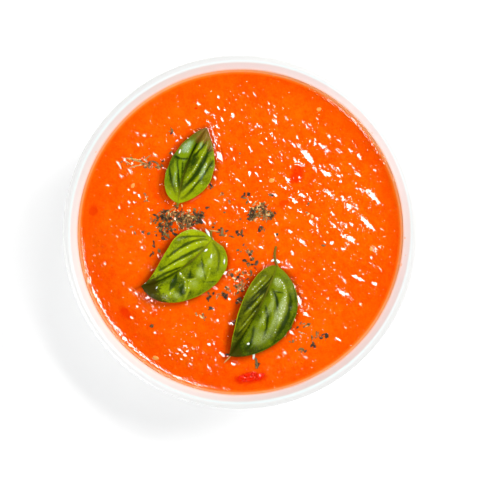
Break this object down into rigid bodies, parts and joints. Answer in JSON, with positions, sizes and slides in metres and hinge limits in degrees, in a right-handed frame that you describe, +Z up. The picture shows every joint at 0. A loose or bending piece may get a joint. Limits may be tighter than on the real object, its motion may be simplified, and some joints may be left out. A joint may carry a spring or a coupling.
{
  "type": "bowl of tomato soup",
  "caption": "Round white porcelain bowl filled with tomato soup, with fresh basil leaves lying on its surface and dried herbs scattered over it.",
  "frame": {"origin": "on the bowl's axis, at the plane that its foot stands on", "axes": "+Z up along the bowl's axis; +Y towards the top of the picture when the bowl is looked down on, +X to its right"},
  "size_m": [0.15, 0.15, 0.062],
  "materials": {
    "porcelain": "gloss",
    "soup": "gloss",
    "basil": "satin"
  },
  "bodies": {
    "root": {"bowl": "porcelain", "soup": "soup", "leaf_1": "basil", "leaf_2": "basil", "leaf_3": "basil"}
  },
  "joints": []
}
